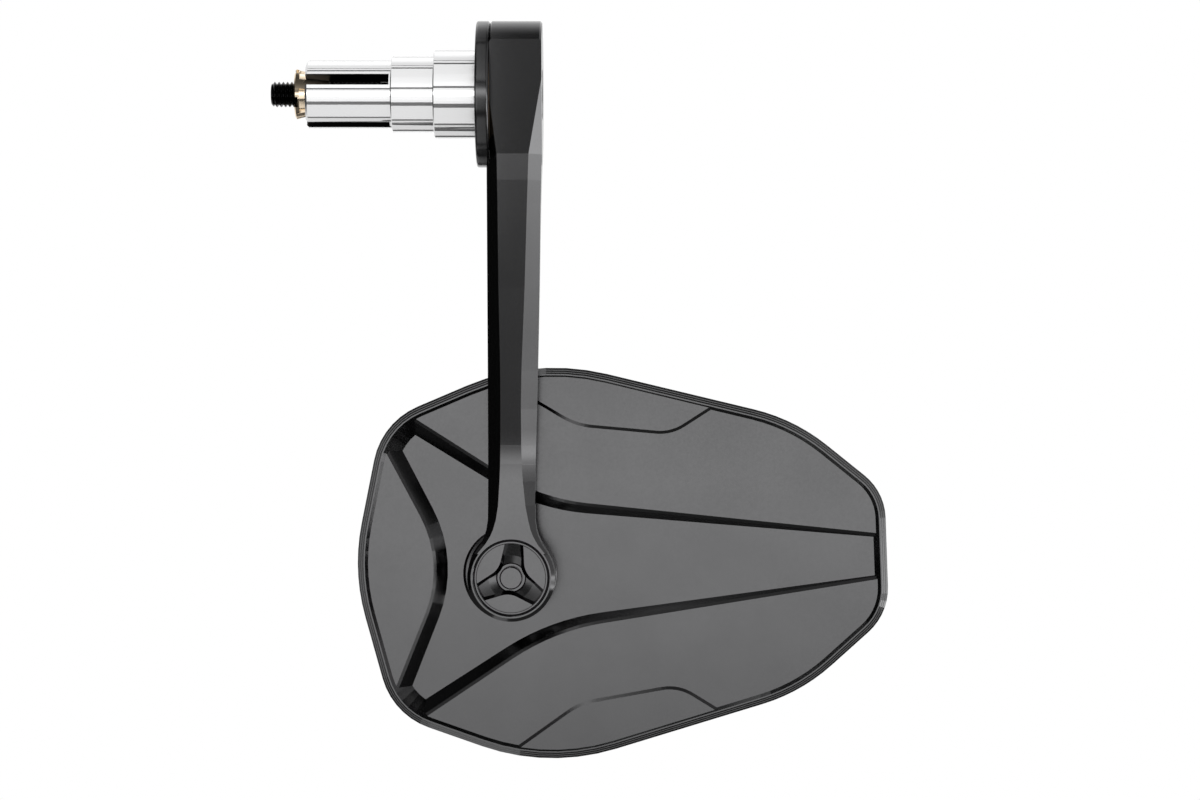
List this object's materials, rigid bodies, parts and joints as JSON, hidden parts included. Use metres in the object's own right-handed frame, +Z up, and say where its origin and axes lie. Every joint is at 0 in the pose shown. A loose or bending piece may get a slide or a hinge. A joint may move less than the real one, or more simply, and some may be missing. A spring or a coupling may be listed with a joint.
{
  "type": "motorcycle bar end mirror",
  "caption": "Bar end mirror for a motorcycle: stepped expanding sleeve, black leaning arm, and a nine-sided milled mirror head on a ball joint",
  "frame": {"origin": "On the bar's axis, in the face of the flange that butts on the end of the handlebar tube", "axes": "+X runs outward along the bar's axis, +Z is up, +Y points to the glass side, where the rider looks from"},
  "size_m": [0.1473, 0.0458, 0.1761],
  "materials": {
    "polished_aluminium": "turned and polished bright",
    "gold_nut": "pale gold, fine turned",
    "black_steel": "black zinc, satin",
    "black_anodised": "satin black anodised aluminium",
    "housing_anodised": "satin black anodised milled aluminium",
    "fibre": "pressed fibre, dull",
    "bright_steel": "zinc plated steel",
    "seat_bronze": "turned bronze",
    "liner_plastic": "natural acetal",
    "carrier_plastic": "black moulded plastic, fine grain",
    "mirror_glass": "silvered convex glass with a ground edge"
  },
  "bodies": {
    "clamp": {"step_sleeve": "polished_aluminium", "flange_disc": "black_anodised", "friction_washer": "fibre"},
    "bolt": {"clamp_bolt": "black_steel", "bolt_washer": "black_steel", "bolt_spring_washer": "black_steel"},
    "wedge": {"wedge_nut": "gold_nut"},
    "arm": {"arm": "black_anodised", "retaining_ring": "black_anodised", "joint_cap": "black_anodised", "disc_springs": "bright_steel"},
    "seats": {"ball_seat_front": "seat_bronze", "ball_seat_rear": "seat_bronze"},
    "liner": {"ball_liner": "liner_plastic"},
    "mirror": {"ball_stud": "bright_steel", "mirror_housing": "housing_anodised", "stud_washer": "bright_steel", "stud_nut": "bright_steel", "glass_carrier": "carrier_plastic", "mirror_glass": "mirror_glass"}
  },
  "joints": [
    {"name": "arm_swivel", "type": "hinge", "parent": "clamp", "child": "arm", "pos_m": [0, 0, 0], "axis": [1, 0, 0], "continuous": true},
    {"name": "bolt_turn", "type": "hinge", "parent": "clamp", "child": "bolt", "pos_m": [0, 0, 0], "axis": [-1, 0, 0], "range_deg": [-900, 180]},
    {"name": "wedge_slide", "type": "slide", "parent": "clamp", "child": "wedge", "axis": [1, 0, 0], "range_m": [-0.0026, 0.0006]},
    {"name": "ball_spin", "type": "hinge", "parent": "arm", "child": "seats", "pos_m": [0.0079, 0.0112, -0.1143], "axis": [0, 1, 0], "continuous": true},
    {"name": "ball_tilt", "type": "hinge", "parent": "seats", "child": "liner", "pos_m": [0.0079, 0.0112, -0.1143], "axis": [1, 0, 0], "range_deg": [-8, 8]},
    {"name": "ball_pan", "type": "hinge", "parent": "liner", "child": "mirror", "pos_m": [0.0079, 0.0112, -0.1143], "axis": [0, 0, 1], "range_deg": [-9, 9]}
  ],
  "couplings": [
    {"joint": "wedge_slide", "follows": "bolt_turn", "m_per_rad": 0.00015915}
  ]
}
